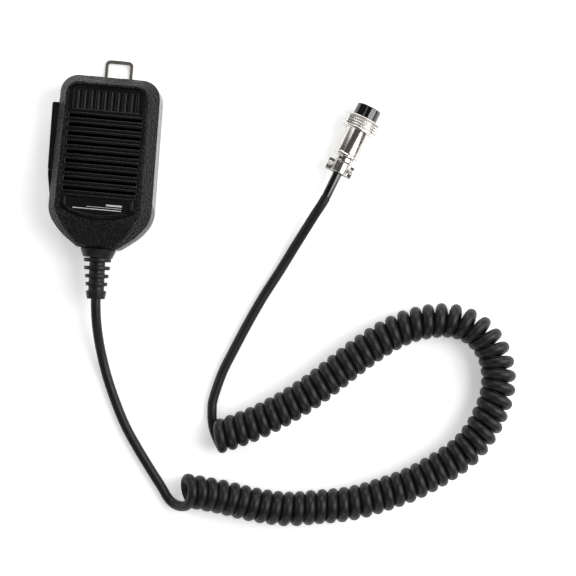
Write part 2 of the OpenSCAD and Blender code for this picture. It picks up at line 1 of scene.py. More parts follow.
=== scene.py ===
"""Looks of a hand microphone with a curly cord and a round plug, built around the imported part."""
import json
import math

import bmesh
import bpy
from mathutils import Matrix, Vector


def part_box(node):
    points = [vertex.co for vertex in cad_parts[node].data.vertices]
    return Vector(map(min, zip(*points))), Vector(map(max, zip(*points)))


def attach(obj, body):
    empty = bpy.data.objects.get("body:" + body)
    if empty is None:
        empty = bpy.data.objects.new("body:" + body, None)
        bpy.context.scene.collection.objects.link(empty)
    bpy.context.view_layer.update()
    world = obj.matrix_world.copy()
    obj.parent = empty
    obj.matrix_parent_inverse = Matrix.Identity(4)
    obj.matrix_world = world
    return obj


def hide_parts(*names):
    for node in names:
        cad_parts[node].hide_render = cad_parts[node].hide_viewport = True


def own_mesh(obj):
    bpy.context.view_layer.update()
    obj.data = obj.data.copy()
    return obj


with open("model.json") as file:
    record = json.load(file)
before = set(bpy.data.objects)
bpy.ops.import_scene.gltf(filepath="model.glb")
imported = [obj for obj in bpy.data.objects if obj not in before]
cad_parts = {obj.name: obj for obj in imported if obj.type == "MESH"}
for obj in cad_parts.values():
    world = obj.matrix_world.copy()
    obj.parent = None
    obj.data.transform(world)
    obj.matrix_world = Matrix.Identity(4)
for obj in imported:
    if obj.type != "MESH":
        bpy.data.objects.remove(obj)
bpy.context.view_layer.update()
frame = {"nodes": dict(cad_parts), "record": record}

# ---- the part's own measures, in millimetres from the housing's centre line ----
MM = 0.001
TOP_END = 47.4
HANGER_X = 0.7
WALL = 2.2
JOINT_Z = 21.0
CHIN_JOINT_Z = 6.0
DEPTH = 31.5
CABLE_D = 5.5
COIL_D = 19.6
COIL_WIRE = 6.3
RELIEF_Z = 14.0
RING_D = 19.2
PLUG_TURN = math.radians(20.8)

hanger_low, hanger_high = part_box("hanger")
cover_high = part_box("front_cover")[1]
SHIFT = Vector(((hanger_low[0] + hanger_high[0]) / 2 - HANGER_X * MM,
                cover_high[1] - TOP_END * MM, 0))


def place(x, y, z=0.0):
    """A point given in millimetres in the housing's own frame, in metres in the row frame."""
    return Vector((x, y, z)) * MM + SHIFT


def shown(name, data):
    """A new object with that mesh, curve, camera or light in it, in the scene."""
    obj = bpy.data.objects.new(name, data)
    bpy.context.scene.collection.objects.link(obj)
    return obj


# ---- camera: straight down from 720 mm, turned a little so that the microphone leans right ----
CAMERA_AT = (107.2, -59.2, 720.0)
CAMERA_ROLL = math.radians(5.2)
LENS = 79.2


def make_camera():
    """The camera, level over the table."""
    data = bpy.data.cameras.new("camera")
    data.lens = LENS
    data.sensor_width = 36.0
    data.clip_start = 0.01
    camera = shown("camera", data)
    camera.location = place(*CAMERA_AT)
    camera.rotation_euler = (0, 0, CAMERA_ROLL)
    bpy.context.scene.camera = camera


make_camera()


# ---- cord ----
REST = CABLE_D / 2
LEAD = [(1.1, -75, 14), (1.4, -79, 13.8), (2.2, -87, 12), (3.6, -96, 8.8), (5.9, -106, 5.6),
        (9.7, -118, 3.3), (15.5, -131.5, REST), (22.5, -145, REST), (30.5, -157, REST),
        (39, -168.5, REST), (46.4, -178.2, REST), (50.4, -184, REST), (54.2, -187.5, 3.4)]
COIL = [(59, -177.2), (70, -178.1), (82.5, -179.3), (94.5, -181.3), (107.5, -182.5),
        (120.5, -182.5), (133.5, -180), (146, -178), (159, -174.5), (172, -169), (185, -163),
        (196, -156), (206, -148.5), (215, -140.5), (222, -130), (226.5, -119), (229.5, -107.5),
        (229, -95.5), (225.5, -85), (218.5, -76), (209, -70.5), (198, -69), (186, -71),
        (174, -75.5), (163, -82.5), (152.5, -91), (141.5, -101), (130.5, -111.5),
        (118.5, -121.5), (105.5, -130.5), (93, -138), (74.5, -146.5)]
PLUG_END = (123.7, -6.7, RING_D / 2)
TAIL = [(73.2, -145, REST), (71.5, -139, REST), (70.7, -132.5, REST), (70.8, -125.5, REST),
        (74.5, -110.5, REST), (80, -96.5, REST), (86.3, -81.5, REST), (93.4, -66, REST),
        (101.5, -50.5, REST), (108.2, -37, 3.8), (114.2, -25.2, 6.2), (118.5, -16.8, 8.8),
        (121.8, -10.7, RING_D / 2), PLUG_END]
TURNS = 62.82
STEPS_PER_TURN = 24
FIRST_ANGLE = math.radians(208)
# the first turns lean ahead and turn outwards, and this fades over FADE_TURNS
LEAN, YAW = math.radians(35), math.radians(12)
FADE_TURNS = 4
# the cable comes off the coil in a wider arc, over this share of the first turn
WIDER, WIDER_TURNS = 0.8, 0.33
# how much the turns open where the coil bends
OPENING = 5.5


def smooth(points, steps):
    """Points on a Catmull-Rom curve through the given ones."""
    pts = [Vector(p) for p in points]
    pts = [2 * pts[0] - pts[1]] + pts + [2 * pts[-1] - pts[-2]]
    out = []
    for a, b, c, d in zip(pts, pts[1:], pts[2:], pts[3:]):
        for k in range(steps):
            t = k / steps
            out.append(0.5 * (2 * b + (c - a) * t + (2 * a - 5 * b + 4 * c - d) * t ** 2
                              + (3 * b - a - 3 * c + d) * t ** 3))
    out.append(pts[-2])
    return out


def relaxed(points, rounds):
    """The same points with small wobbles evened out."""
    for _ in range(rounds):
        points = [points[0]] + [(a + 2 * b + c) / 4 for a, b, c in
                                zip(points, points[1:], points[2:])] + [points[-1]]
    return points


def coil_phase(axis):
    """How far the winding has come at each point of the axis: less per millimetre round a bend."""
    phase = [0.0]
    last = len(axis) - 1
    for i in range(1, len(axis)):
        u, w = axis[i] - axis[max(i - 8, 0)], axis[min(i + 8, last)] - axis[i]
        bend = u.angle(w) / max(u.length, w.length, 1) if u.length and w.length else 0
        phase.append(phase[-1] + (axis[i] - axis[i - 1]).length / (1 + OPENING * bend))
    return phase


def coil_points():
    """The curly stretch: a left-handed helix round the coil's axis, looser round the bend."""
    axis = relaxed(smooth([(x, y, COIL_D / 2) for x, y in COIL], 20), 90)
    radius = (COIL_D - COIL_WIRE) / 2
    phase = coil_phase(axis)
    out, i = [], 0
    count = round(TURNS * STEPS_PER_TURN)
    for k in range(count + 1):
        wanted = phase[-1] * k / count
        while i < len(axis) - 2 and phase[i + 1] < wanted:
            i += 1
        t = (wanted - phase[i]) / (phase[i + 1] - phase[i])
        centre = axis[i].lerp(axis[i + 1], min(t, 1))
        ahead = (axis[min(i + 3, len(axis) - 1)] - axis[max(i - 2, 0)]).normalized()
        side = Vector((-ahead.y, ahead.x, 0))
        angle = FIRST_ANGLE - 2 * math.pi * TURNS * k / count
        turn = k / STEPS_PER_TURN
        fade = 1 / (1 + (turn / FADE_TURNS) ** 2)
        lean, yaw = LEAN * fade, YAW * fade
        up = Vector((0, 0, math.cos(lean))) + ahead * math.sin(lean)
        far = side * math.cos(yaw) - ahead * math.sin(yaw)
        wide = radius * (1 + WIDER * max(1 - turn / WIDER_TURNS, 0))
        out.append(centre + wide * (math.cos(angle) * far + math.sin(angle) * up))
    return out


def tube(name, points, radius, detail=4, widths=None):
    """A round cord, wire or cable along points in millimetres; widths scale it point by point."""
    data = bpy.data.curves.new(name, "CURVE")
    data.dimensions = "3D"
    data.bevel_depth = radius * MM
    data.bevel_resolution = detail
    data.use_fill_caps = True
    spline = data.splines.new("POLY")
    spline.points.add(len(points) - 1)
    for target, p in zip(spline.points, points):
        target.co = (*place(*p), 1)
    for target, width in zip(spline.points, widths or []):
        target.radius = width
    spline.use_smooth = True
    return shown(name, data)


def make_cord():
    """Lead, curly stretch and tail in one piece; the jacket swells a little where it was coiled."""
    lead, coil, tail = smooth(LEAD, 5), coil_points(), smooth(TAIL, 5)
    points = lead + coil + tail
    start, end = len(lead), len(lead) + len(coil)
    for joint in (start, end):
        points[joint - 8:joint + 8] = relaxed(points[joint - 8:joint + 8], 12)
    widths = []
    for i in range(len(points)):
        swell = min((i - start) / STEPS_PER_TURN, (end - i) / STEPS_PER_TURN) + 0.3
        widths.append(1 + (COIL_WIRE / CABLE_D - 1) * max(min(swell, 1), 0))
    obj = tube("cord", points, CABLE_D / 2, widths=widths)
    length = sum((b - a).length for a, b in zip(points, points[1:])) * MM
    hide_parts("cord_lead", "cord_coil", "cord_tail")
    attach(obj, "housing")
    return obj, length


cord, cord_length = make_cord()


# ---- materials ----
class Look:
    """A procedural material: one Principled shader and the nodes that feed it."""

    def __init__(self, name, **constants):
        self.name = name
        self.mat = bpy.data.materials.new(name + "_look")
        self.mat.use_nodes = True
        self.tree = self.mat.node_tree
        self.shader = self.tree.nodes["Principled BSDF"]
        self.place = self.node("ShaderNodeTexCoord").outputs["Object"]
        for socket, value in constants.items():
            self.shader.inputs[socket.replace("_", " ")].default_value = value

    def node(self, kind, **settings):
        """A new shader node with those settings."""
        made = self.tree.nodes.new(kind)
        for key, value in settings.items():
            setattr(made, key, value)
        return made

    def join(self, source, target):
        """Links an output socket to an input socket."""
        self.tree.links.new(source, target)

    def stretched(self, scale):
        """The surface's own coordinates, stretched by a factor along X, Y and Z."""
        mapping = self.node("ShaderNodeMapping")
        mapping.inputs["Scale"].default_value = scale
        self.join(self.place, mapping.inputs["Vector"])
        return mapping.outputs["Vector"]

    def noise(self, size, detail=3.0, at=None):
        """Cloudy noise whose blobs are about size millimetres across."""
        made = self.node("ShaderNodeTexNoise")
        made.inputs["Scale"].default_value = 1000 / size
        made.inputs["Detail"].default_value = detail
        self.join(at or self.place, made.inputs["Vector"])
        return made.outputs["Fac"]

    def cells(self, size, feature="SMOOTH_F1", at=None):
        """Cells about size millimetres across: low in the middle of each and high between them."""
        made = self.node("ShaderNodeTexVoronoi", feature=feature)
        made.inputs["Scale"].default_value = 1000 / size
        if feature == "SMOOTH_F1":
            made.inputs["Smoothness"].default_value = 0.35
        self.join(at or self.place, made.inputs["Vector"])
        return made.outputs["Distance"]

    def math(self, operation, a, b=0.0):
        """The result of a sum on two sockets or numbers."""
        made = self.node("ShaderNodeMath", operation=operation)
        for socket, value in zip(made.inputs, (a, b)):
            if isinstance(value, (int, float)):
                socket.default_value = value
            else:
                self.join(value, socket)
        return made.outputs[0]

    def ramp(self, factor, low, high, start=0.3, end=0.7):
        """A colour or a number that goes from low to high as factor goes from start to end."""
        made = self.node("ShaderNodeValToRGB")
        for element, at, value in zip(made.color_ramp.elements, (start, end), (low, high)):
            element.position = at
            element.color = (value,) * 3 + (1,) if isinstance(value, float) else (*value, 1)
        self.join(factor, made.inputs["Fac"])
        return made.outputs["Color"]

    def colour(self, socket):
        self.join(socket, self.shader.inputs["Base Color"])

    def roughness(self, socket):
        self.join(socket, self.shader.inputs["Roughness"])

    def bump(self, height, depth):
        """Relief of the given depth in millimetres, on top of what is there already."""
        made = self.node("ShaderNodeBump")
        made.inputs["Distance"].default_value = depth * MM
        self.join(height, made.inputs["Height"])
        before = self.shader.inputs["Normal"].links
        if before:
            self.join(before[0].from_socket, made.inputs["Normal"])
        self.join(made.outputs["Normal"], self.shader.inputs["Normal"])

    def worn(self, colour, lighter, amount=0.6):
        """The colour with edges that are rubbed a little lighter."""
        edge = self.node("ShaderNodeNewGeometry").outputs["Pointiness"]
        patchy = self.math("MULTIPLY", self.ramp(edge, 0.0, amount, 0.52, 0.6), self.noise(2.5))
        made = self.node("ShaderNodeMix", data_type="RGBA")
        self.join(patchy, made.inputs["Factor"])
        self.join(colour, made.inputs["A"])
        made.inputs["B"].default_value = (*lighter, 1)
        return made.outputs["Result"]


def grey(value):
    """A grey that is very slightly blue."""
    return (value, value, value * 1.04)


def grained_plastic():
    """Near-black moulding with a pebbled leather grain, with painted shade in the hollows between
    the pebbles that leaves their tops lighter.
    """
    look = Look("cover_grained", Specular_IOR_Level=0.045)
    pebble = look.cells(1.35)
    fine = look.noise(0.45, 2.0)
    # painted shade: the colour is darker in the hollows between pebbles and lighter on their raised
    # tops
    body = look.ramp(pebble, grey(0.022), grey(0.009), 0.1, 0.6)
    look.colour(look.worn(body, grey(0.04)))
    look.roughness(look.ramp(look.noise(9), 0.20, 0.27))
    look.bump(look.math("MULTIPLY", pebble, -1.0), 0.75)
    look.bump(fine, 0.02)
    return look


def smooth_plastic(name, value, rough=0.36, grain=0.5, depth=0.05):
    """Dark moulding with a fine spark-eroded surface."""
    look = Look(name, Specular_IOR_Level=0.3)
    body = look.ramp(look.noise(14, 4.0), grey(value * 0.8), grey(value * 1.2))
    look.colour(look.worn(body, grey(value * 3)))
    look.roughness(look.ramp(look.noise(3.0), rough - 0.05, rough + 0.07))
    look.bump(look.noise(grain, 3.0), depth)
    return look


def label_gloss():
    """The label's lacquered black film."""
    look = Look("label_gloss", Coat_Weight=0.5, Coat_Roughness=0.06)
    look.colour(look.ramp(look.noise(6), grey(0.0022), grey(0.0034)))
    look.roughness(look.ramp(look.noise(5, 5.0), 0.10, 0.20, 0.35, 0.75))
    look.bump(look.noise(1.2, 1.0), 0.006)
    return look


def rubber(name, value, rough=0.5, along=None):
    """Soft black moulding; along stretches its faint drawing lines."""
    look = Look(name, Specular_IOR_Level=0.32, Sheen_Weight=0.02, Sheen_Roughness=0.5)
    blotch = look.noise(7, 4.0)
    look.colour(look.ramp(blotch, grey(value * 0.8), grey(value * 1.25)))
    look.roughness(look.ramp(look.noise(2.2, 4.0), rough - 0.06, rough + 0.08))
    look.bump(look.noise(0.6, 3.0, look.stretched(along) if along else None), 0.035)
    return look


def metal(name, low, high, rough, scratch=0.012, along=(1, 1, 1)):
    """Plated or bare metal with fine scratches and a slightly uneven shine."""
    look = Look(name, Metallic=1.0)
    look.colour(look.ramp(look.noise(3.5, 4.0), low, high))
    lines = look.noise(0.5, 5.0, look.stretched(along))
    look.roughness(look.ramp(lines, rough - 0.04, rough + 0.08, 0.35, 0.75))
    look.bump(lines, scratch)
    return look


def gloss_moulding(name, value):
    """Hard black moulding with a polished skin."""
    look = Look(name, Coat_Weight=0.6, Coat_Roughness=0.08)
    look.colour(look.ramp(look.noise(4), grey(value * 0.8), grey(value * 1.3)))
    look.roughness(look.ramp(look.noise(1.5, 5.0), 0.10, 0.18))
    look.bump(look.noise(1.6, 2.0), 0.01)
    return look


def board_green():
    """Solder mask over tracks that run between cells."""
    look = Look("board_green", Coat_Weight=0.3)
    tracks = look.cells(2.4, "DISTANCE_TO_EDGE", look.stretched((1, 1, 0.01)))
    look.colour(look.ramp(tracks, (0.003, 0.010, 0.005), (0.002, 0.006, 0.003), 0.08, 0.14))
    look.roughness(look.ramp(look.noise(4), 0.3, 0.42))
    look.bump(tracks, 0.03)
    return look


WIRE_PITCH = 1.87
WIRE_COLOURS = [(0.5, 0.05, 0.02), (0.6, 0.25, 0.02), (0.6, 0.5, 0.05), (0.04, 0.3, 0.06),
                (0.03, 0.08, 0.4), (0.35, 0.35, 0.34), (0.02, 0.02, 0.02)]


def insulation(name, colour_of):
    """The skin of a thin wire; colour_of(look) gives its colour."""
    look = Look(name)
    look.colour(colour_of(look))
    look.roughness(look.ramp(look.noise(1.0), 0.32, 0.45))
    look.bump(look.noise(0.4), 0.01)
    return look


def wire_red(look):
    """One colour, slightly uneven."""
    red = (0.2, 0.006, 0.005)
    return look.ramp(look.noise(2.0), red, tuple(c * 0.7 for c in red))


def wire_mixed(look):
    """A colour that changes from wire to wire across X."""
    at = look.node("ShaderNodeSeparateXYZ")
    look.join(look.place, at.inputs[0])
    from_left = look.math("SUBTRACT", at.outputs[0], place(-8, 0).x)
    made = look.node("ShaderNodeValToRGB")
    steps = made.color_ramp
    steps.interpolation = "CONSTANT"
    for k, colour in enumerate(WIRE_COLOURS):
        element = steps.elements[k] if k < 2 else steps.elements.new(k / 8)
        element.position = k / len(WIRE_COLOURS)
        element.color = (*colour, 1)
    look.join(look.math("DIVIDE", from_left, 8 * WIRE_PITCH * MM), made.inputs["Fac"])
    return made.outputs["Color"]


LOOKS = {look.name: look.mat for look in (
    grained_plastic(),
    smooth_plastic("cover_smooth", 0.006, rough=0.2, depth=0.012),
    smooth_plastic("panel_matte", 0.0026, rough=0.24, grain=0.35, depth=0.004),
    label_gloss(),
    smooth_plastic("lever_plastic", 0.005, rough=0.34, depth=0.02),
    smooth_plastic("button_plastic", 0.014, rough=0.45),
    smooth_plastic("switch_plastic", 0.02, rough=0.5),
    smooth_plastic("plunger_plastic", 0.55, rough=0.45),
    smooth_plastic("parts_dark", 0.03, rough=0.45),
    smooth_plastic("header_ivory", 0.5, rough=0.4),
    metal("hanger_steel", (0.30, 0.285, 0.26), (0.42, 0.40, 0.37), 0.34, 0.02, (1, 0.12, 1)),
    metal("screw_steel", (0.66, 0.65, 0.63), (0.80, 0.79, 0.76), 0.48),
    metal("screw_black", (0.035, 0.035, 0.037), (0.07, 0.07, 0.07), 0.36),
    metal("pin_steel", (0.55, 0.55, 0.54), (0.66, 0.66, 0.65), 0.2),
    metal("spring_steel", (0.45, 0.44, 0.42), (0.6, 0.59, 0.57), 0.24),
    metal("plug_nickel", (0.58, 0.56, 0.53), (0.72, 0.70, 0.66), 0.17, 0.010, (1, 0.3, 1)),
    metal("contact_brass", (0.62, 0.47, 0.2), (0.8, 0.62, 0.3), 0.22),
    metal("capsule_metal", (0.52, 0.52, 0.53), (0.68, 0.68, 0.69), 0.3),
    rubber("cable_jacket", 0.0042, 0.44),
    rubber("relief_rubber", 0.0038, 0.42),
    rubber("boot_rubber", 0.008, 0.62),
    gloss_moulding("sleeve_gloss", 0.0035),
    gloss_moulding("plug_phenolic", 0.003),
    board_green(),
    insulation("wire_red", wire_red),
    insulation("wire_mixed", wire_mixed),
    smooth_plastic("label_print", 0.32, rough=0.5, grain=0.2, depth=0.004))}


def dress(obj, slot, body, *nodes):
    """Gives a new piece its material and its body, and hides the CAD nodes that it stands for."""
    obj.data.materials.clear()
    obj.data.materials.append(LOOKS[slot])
    if nodes:
        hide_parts(*nodes)
    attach(obj, body)
    return obj


def laid(obj, look):
    """Puts a small extra piece, made in the housing's own frame, on the housing."""
    obj.matrix_world = Matrix.Translation(place(0, 0))
    obj.data.materials.append(LOOKS[look])
    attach(obj, "housing")


dress(cord, "cable_jacket", "housing")


# ---- mesh helpers ----
def finished(name, bm, sharp=35):
    """An object from a bmesh, shaded smooth but for its sharp edges."""
    bmesh.ops.recalc_face_normals(bm, faces=bm.faces)
    data = bpy.data.meshes.new(name)
    bm.to_mesh(data)
    bm.free()
    data.shade_smooth()
    data.set_sharp_from_angle(angle=math.radians(sharp))
    return shown(name, data)


def soften(obj, width, segments=2, angle=30):
    """Rounds the object's edges by width millimetres."""
    bevel = obj.modifiers.new("edges", "BEVEL")
    bevel.width = width * MM
    bevel.segments = segments
    bevel.limit_method = "ANGLE"
    bevel.angle_limit = math.radians(angle)
    bevel.use_clamp_overlap = False
    bevel.harden_normals = True
    return obj


BODIES = frame["record"]["behaviour"]["bodies"]
BODY_OF = {node: body for body, nodes in BODIES.items() for node in nodes}


def refined(node, slot, width, segments=2):
    """A finer copy of a CAD node: whole flat faces and rounded edges."""
    bm = bmesh.new()
    bm.from_mesh(frame["nodes"][node].data)
    bmesh.ops.remove_doubles(bm, verts=bm.verts, dist=2e-6)
    bmesh.ops.dissolve_limit(bm, angle_limit=math.radians(0.6), verts=bm.verts, edges=bm.edges)
    obj = soften(finished(node + "_fine", bm), width, segments)
    return dress(obj, slot, BODY_OF[node], node)


def repainted(node, slot):
    """A CAD node that keeps its shape and gets a better material."""
    data = frame["nodes"][node].data
    data.materials.clear()
    data.materials.append(LOOKS[slot])


def rounded_corners(points, radii, steps):
    """A 2D line or loop whose corners are arcs of the given radii, as far as they fit."""
    count = len(points)
    out = []
    for i, (corner, radius) in enumerate(zip(points, radii)):
        b = Vector(corner)
        u = Vector(points[i - 1]) - b
        w = Vector(points[(i + 1) % count]) - b
        half = u.angle(w, 0) / 2
        if radius <= 0 or half < 0.02 or half > 1.55:
            out.append(b)
            continue
        reach = min(radius / math.tan(half), 0.48 * u.length, 0.48 * w.length)
        radius = reach * math.tan(half)
        centre = b + (u.normalized() + w.normalized()).normalized() * radius / math.sin(half)
        first = b + u.normalized() * reach - centre
        turn = -(math.pi - 2 * half) * (1 if u.cross(w) > 0 else -1)
        for k in range(steps + 1):
            out.append(centre + Matrix.Rotation(turn * k / steps, 2) @ first)
    return out


def add_lathe(bm, profile, corner=0.25, sides=96, steps=3, shape=None):
    """Adds a turned solid round Z; profile points are (radius, height) in millimetres.

    A profile that starts and ends at radius 0 is closed on the axis; any other is a ring.
    shape(radius, height, angle) may change the radius, as for a knurl.
    """
    whole = profile[0][0] == 0 and profile[-1][0] == 0
    radii = [0 if r == 0 else corner for r, _ in profile]
    line = rounded_corners([Vector(p) for p in profile], radii, steps)
    rings = []
    for r, t in line:
        if r < 1e-6:
            rings.append([bm.verts.new((0, 0, t * MM))])
            continue
        ring = []
        for k in range(sides):
            a = 2 * math.pi * k / sides
            reach = shape(r, t, a) if shape else r
            ring.append(bm.verts.new((reach * math.cos(a) * MM, reach * math.sin(a) * MM, t * MM)))
        rings.append(ring)
    pairs = list(zip(rings, rings[1:])) + ([] if whole else [(rings[-1], rings[0])])
    for low, high in pairs:
        for k in range(sides):
            n = (k + 1) % sides
            corners = [low[k % len(low)], low[n % len(low)],
                       high[n % len(high)], high[k % len(high)]]
            unique = list(dict.fromkeys(corners))
            if len(unique) > 2:
                bm.faces.new(unique)


def add_block(bm, outline, low, high, corner=0.0):
    """Adds a straight extrusion of a 2D outline, in millimetres, from low to high along Z."""
    line = rounded_corners(outline, [corner] * len(outline), 3) if corner else outline
    rings = [[bm.verts.new(Vector((x, y, z)) * MM) for x, y in line] for z in (low, high)]
    for k in range(len(line)):
        n = (k + 1) % len(line)
        bm.faces.new((rings[0][k], rings[0][n], rings[1][n], rings[1][k]))
    bm.faces.new(rings[0])
    bm.faces.new(rings[1])


def rectangle(left, right, low, high):
    """The four corners of a rectangle, for add_block."""
    return [Vector((left, low)), Vector((right, low)), Vector((right, high)), Vector((left, high))]


def turned(name, slot, body, matrix, profiles, nodes, corner=0.25, sides=96, sharp=40, shape=None):
    """A piece made of turned solids on one axis, which is the matrix's Z."""
    bm = bmesh.new()
    for profile in profiles:
        add_lathe(bm, profile, corner, sides, shape=shape)
    obj = finished(name, bm, sharp)
    obj.matrix_world = matrix
    return dress(obj, slot, body, *nodes)


# ---- covers ----
HALF_TOP, HALF_LOW = 27.3, 28.6
CHIN_START, BOTTOM_END, HALF_END = 30.0, 47.0, 11.0
CHIN_BEND = (21.0, -39.7)
CORNERS = [(HALF_LOW, -CHIN_START), (HALF_TOP, TOP_END), (-HALF_TOP, TOP_END),
           (-HALF_LOW, -CHIN_START), (-CHIN_BEND[0], CHIN_BEND[1]), (-HALF_END, -BOTTOM_END),
           (HALF_END, -BOTTOM_END), CHIN_BEND]
CORNER_R = (16, 9.8, 9.8, 16, 30, 3.5, 3.5, 30)
ARC_STEPS = (12, 18, 18, 12, 8, 5, 5, 8)
# where points lie along each straight side, as shares of it; None is the end with the cord's hole
SIDE_STEPS = [k / 8 * 0.13 for k in range(1, 9)] + [0.13 + 0.87 * k / 30 for k in range(1, 30)]
THIRDS = [1 / 3, 2 / 3]
STRAIGHT_STEPS = (SIDE_STEPS, [k / 18 for k in range(1, 18)],
                  [1 - t for t in reversed(SIDE_STEPS)], THIRDS, THIRDS, None, THIRDS, THIRDS)
RELIEF_HOLE = 6.5
# X of the points across that end, from the corner inwards, closer together beside the hole
END_STEPS = (8.0, 7.2, RELIEF_HOLE + 0.01, RELIEF_HOLE, 6.4, 6.1, 5.5, 4.6, 3.4, 2.0, 0.7)
CHIN_TILT = math.tan(math.radians(27))
CHIN_TOP = -33.0
CHIN_BLEND = 1.1
FACE_Z = DEPTH - WALL
PANEL_Z = DEPTH - 0.6
# going down the side, the joint drops to the chin's height just above STEP_Y, over STEP_LENGTH
STEP_Y, STEP_LENGTH = -23.4, 3.2
EDGE_R = 0.25
FACET_Z = JOINT_Z + 0.35  # foot of the sloping facets
FLAT_INSET = 5.95  # from the outline to the flat face
PANEL_GAP, LIP_R = 0.1, 0.55
UNDER_FACE = 2.4  # from the inside of the face down to the rebate's foot


def inset_corners(d):
    """The housing's corner points, moved in by d."""
    out = []
    for i, corner in enumerate(CORNERS):
        a, b, c = Vector(CORNERS[i - 1]), Vector(corner), Vector(CORNERS[(i + 1) % len(CORNERS)])
        u, w = (b - a).normalized(), (c - b).normalized()
        n1, n2 = Vector((u.y, -u.x)), Vector((w.y, -w.x))
        out.append(b - d * (n1 + n2) / (1 + n1.dot(n2)))
    return out


def housing_ring(d):
    """The housing's outline at inset d, always with the same number of points."""
    corners = inset_corners(d)
    arcs = []
    for i, b in enumerate(corners):
        u = (corners[i - 1] - b).normalized()
        w = (corners[(i + 1) % len(corners)] - b).normalized()
        half = u.angle(w) / 2
        radius = max(CORNER_R[i] - d * 0.6, 1)
        centre = b + (u + w).normalized() * radius / math.sin(half)
        first = b + u * radius / math.tan(half) - centre
        turn = math.pi - 2 * half
        arcs.append([centre + Matrix.Rotation(turn * k / ARC_STEPS[i], 2) @ first
                     for k in range(ARC_STEPS[i] + 1)])
    ring = []
    for i, arc in enumerate(arcs):
        ring += arc
        a, b = arc[-1], arcs[(i + 1) % len(arcs)][0]
        if STRAIGHT_STEPS[i] is None:
            ends = [-x for x in END_STEPS] + list(reversed(END_STEPS))
            ring += [Vector((x, a.y)) for x in ends]
        else:
            ring += [a.lerp(b, t) for t in STRAIGHT_STEPS[i]]
    return ring


def shield(half, top, low, arc, r_top, r_low):
    """A flat-topped outline with a round lower edge."""
    cy = low + arc
    reach = half - r_low - 1
    points = [(half, cy - math.sqrt(arc ** 2 - half ** 2)), (half, top), (-half, top),
              (-half, cy - math.sqrt(arc ** 2 - half ** 2))]
    radii = [r_low, r_top, r_top, r_low]
    for k in range(13):
        x = -reach + 2 * reach * k / 12
        points.append((x, cy - math.sqrt(arc ** 2 - x ** 2)))
        radii.append(0)
    return rounded_corners(points, radii, 8)


def panel_shield(d):
    """The grille panel's outline, grown by d."""
    return shield(20.6 + d, 40.9 + d, -31.8 - d, 45, 2.7, 3.5)


def towards(ring, outline):
    """For each point of the ring, the point of the outline that faces it."""
    out = []
    for p in ring:
        centre = Vector((0, min(max(p.y, -15), 25)))
        ray = p - centre
        best = None
        for i, b in enumerate(outline):
            a = outline[i - 1]
            side = b - a
            cross = ray.cross(side)
            if abs(cross) < 1e-12:
                continue
            t = (a - centre).cross(side) / cross
            s = (a - centre).cross(ray) / cross
            if t > 0 and -1e-6 <= s <= 1 + 1e-6 and (best is None or t < best):
                best = t
        out.append(centre + ray * best)
    return out


def joint_height(p):
    """Height of the joint between the covers below a point: a step, and an arch for the cord."""
    if abs(p.x) <= RELIEF_HOLE and p.y < -30:
        return RELIEF_Z + math.sqrt(RELIEF_HOLE ** 2 - p.x ** 2)
    step = min(max((p.y - STEP_Y) / STEP_LENGTH, 0), 1)
    return CHIN_JOINT_Z + (JOINT_Z - CHIN_JOINT_Z) * step


def under_chin(z, p, lower=0.0):
    """The height z, blended down on to the chin's slope."""
    slope = DEPTH - 0.2 - lower + (p.y - CHIN_TOP) * CHIN_TILT
    h = max(CHIN_BLEND - abs(z - slope), 0) / CHIN_BLEND
    return min(z, slope) - h * h * CHIN_BLEND / 4


def front_rings():
    """The front cover's surface, ring by ring, from its outer bottom edge round to the inner."""
    rings = []

    def level(ring, height):
        """Adds a ring of points, each at the height that the function gives for it."""
        rings.append([Vector((p.x, p.y, height(p))) for p in ring])

    outer = housing_ring(0)
    level(housing_ring(EDGE_R), joint_height)
    level(housing_ring(0.07), lambda p: joint_height(p) + 0.07)
    for share in (0.0, 0.12, 0.25, 0.4, 0.55, 0.7, 0.85, 1.0):
        level(outer, lambda p: joint_height(p) + EDGE_R
              + (FACET_Z - joint_height(p) - EDGE_R) * share)
    edge = rounded_corners([(0, FACET_Z), (0, FACET_Z + 0.25), (5.15, DEPTH), (7.5, DEPTH)],
                           [0, 0.5, 1.3, 0], 6)
    facet = []
    for a, b in zip(edge[1:], edge[2:]):
        pieces = max(round((b - a).length / 0.8), 1)
        facet += [a.lerp(b, k / pieces) for k in range(pieces)]
    for d, z in facet:
        if d < FLAT_INSET:
            level(housing_ring(d), lambda p: under_chin(z, p))
    # the flat face, and its rounded lip down into the panel's opening
    rim = housing_ring(FLAT_INSET)
    lip = towards(rim, panel_shield(PANEL_GAP + LIP_R))
    for k in range(15):
        level([a.lerp(b, k / 14) for a, b in zip(rim, lip)], lambda p: under_chin(DEPTH, p))
    for k in range(1, 5):
        angle = math.pi / 2 * k / 4
        level(towards(rim, panel_shield(PANEL_GAP + LIP_R * (1 - math.sin(angle)))),
              lambda p: under_chin(DEPTH, p) - LIP_R * (1 - math.cos(angle)))
    opening = towards(rim, panel_shield(PANEL_GAP))
    level(opening, lambda p: FACE_Z + 0.8)
    level(opening, lambda p: FACE_Z)
    # the rebate that holds the panel's flange, and the inside of the shell
    rebate = towards(rim, panel_shield(0.7))
    level(rebate, lambda p: FACE_Z)
    level(rebate, lambda p: FACE_Z - 2.1)
    inside_top = FACE_Z - UNDER_FACE
    for k in range(7):
        height = inside_top - (inside_top - JOINT_Z - 0.4) * k / 6
        level(housing_ring(6.1 - 3.9 * k / 6), lambda p: under_chin(height, p, WALL + 0.3))
    inner = housing_ring(WALL)
    for share in (0.6, 0.3, 0.0):
        level(inner, lambda p: joint_height(p) + 0.2 + (JOINT_Z - joint_height(p)) * share)
    level(housing_ring(WALL - 0.2), joint_height)
    return rings


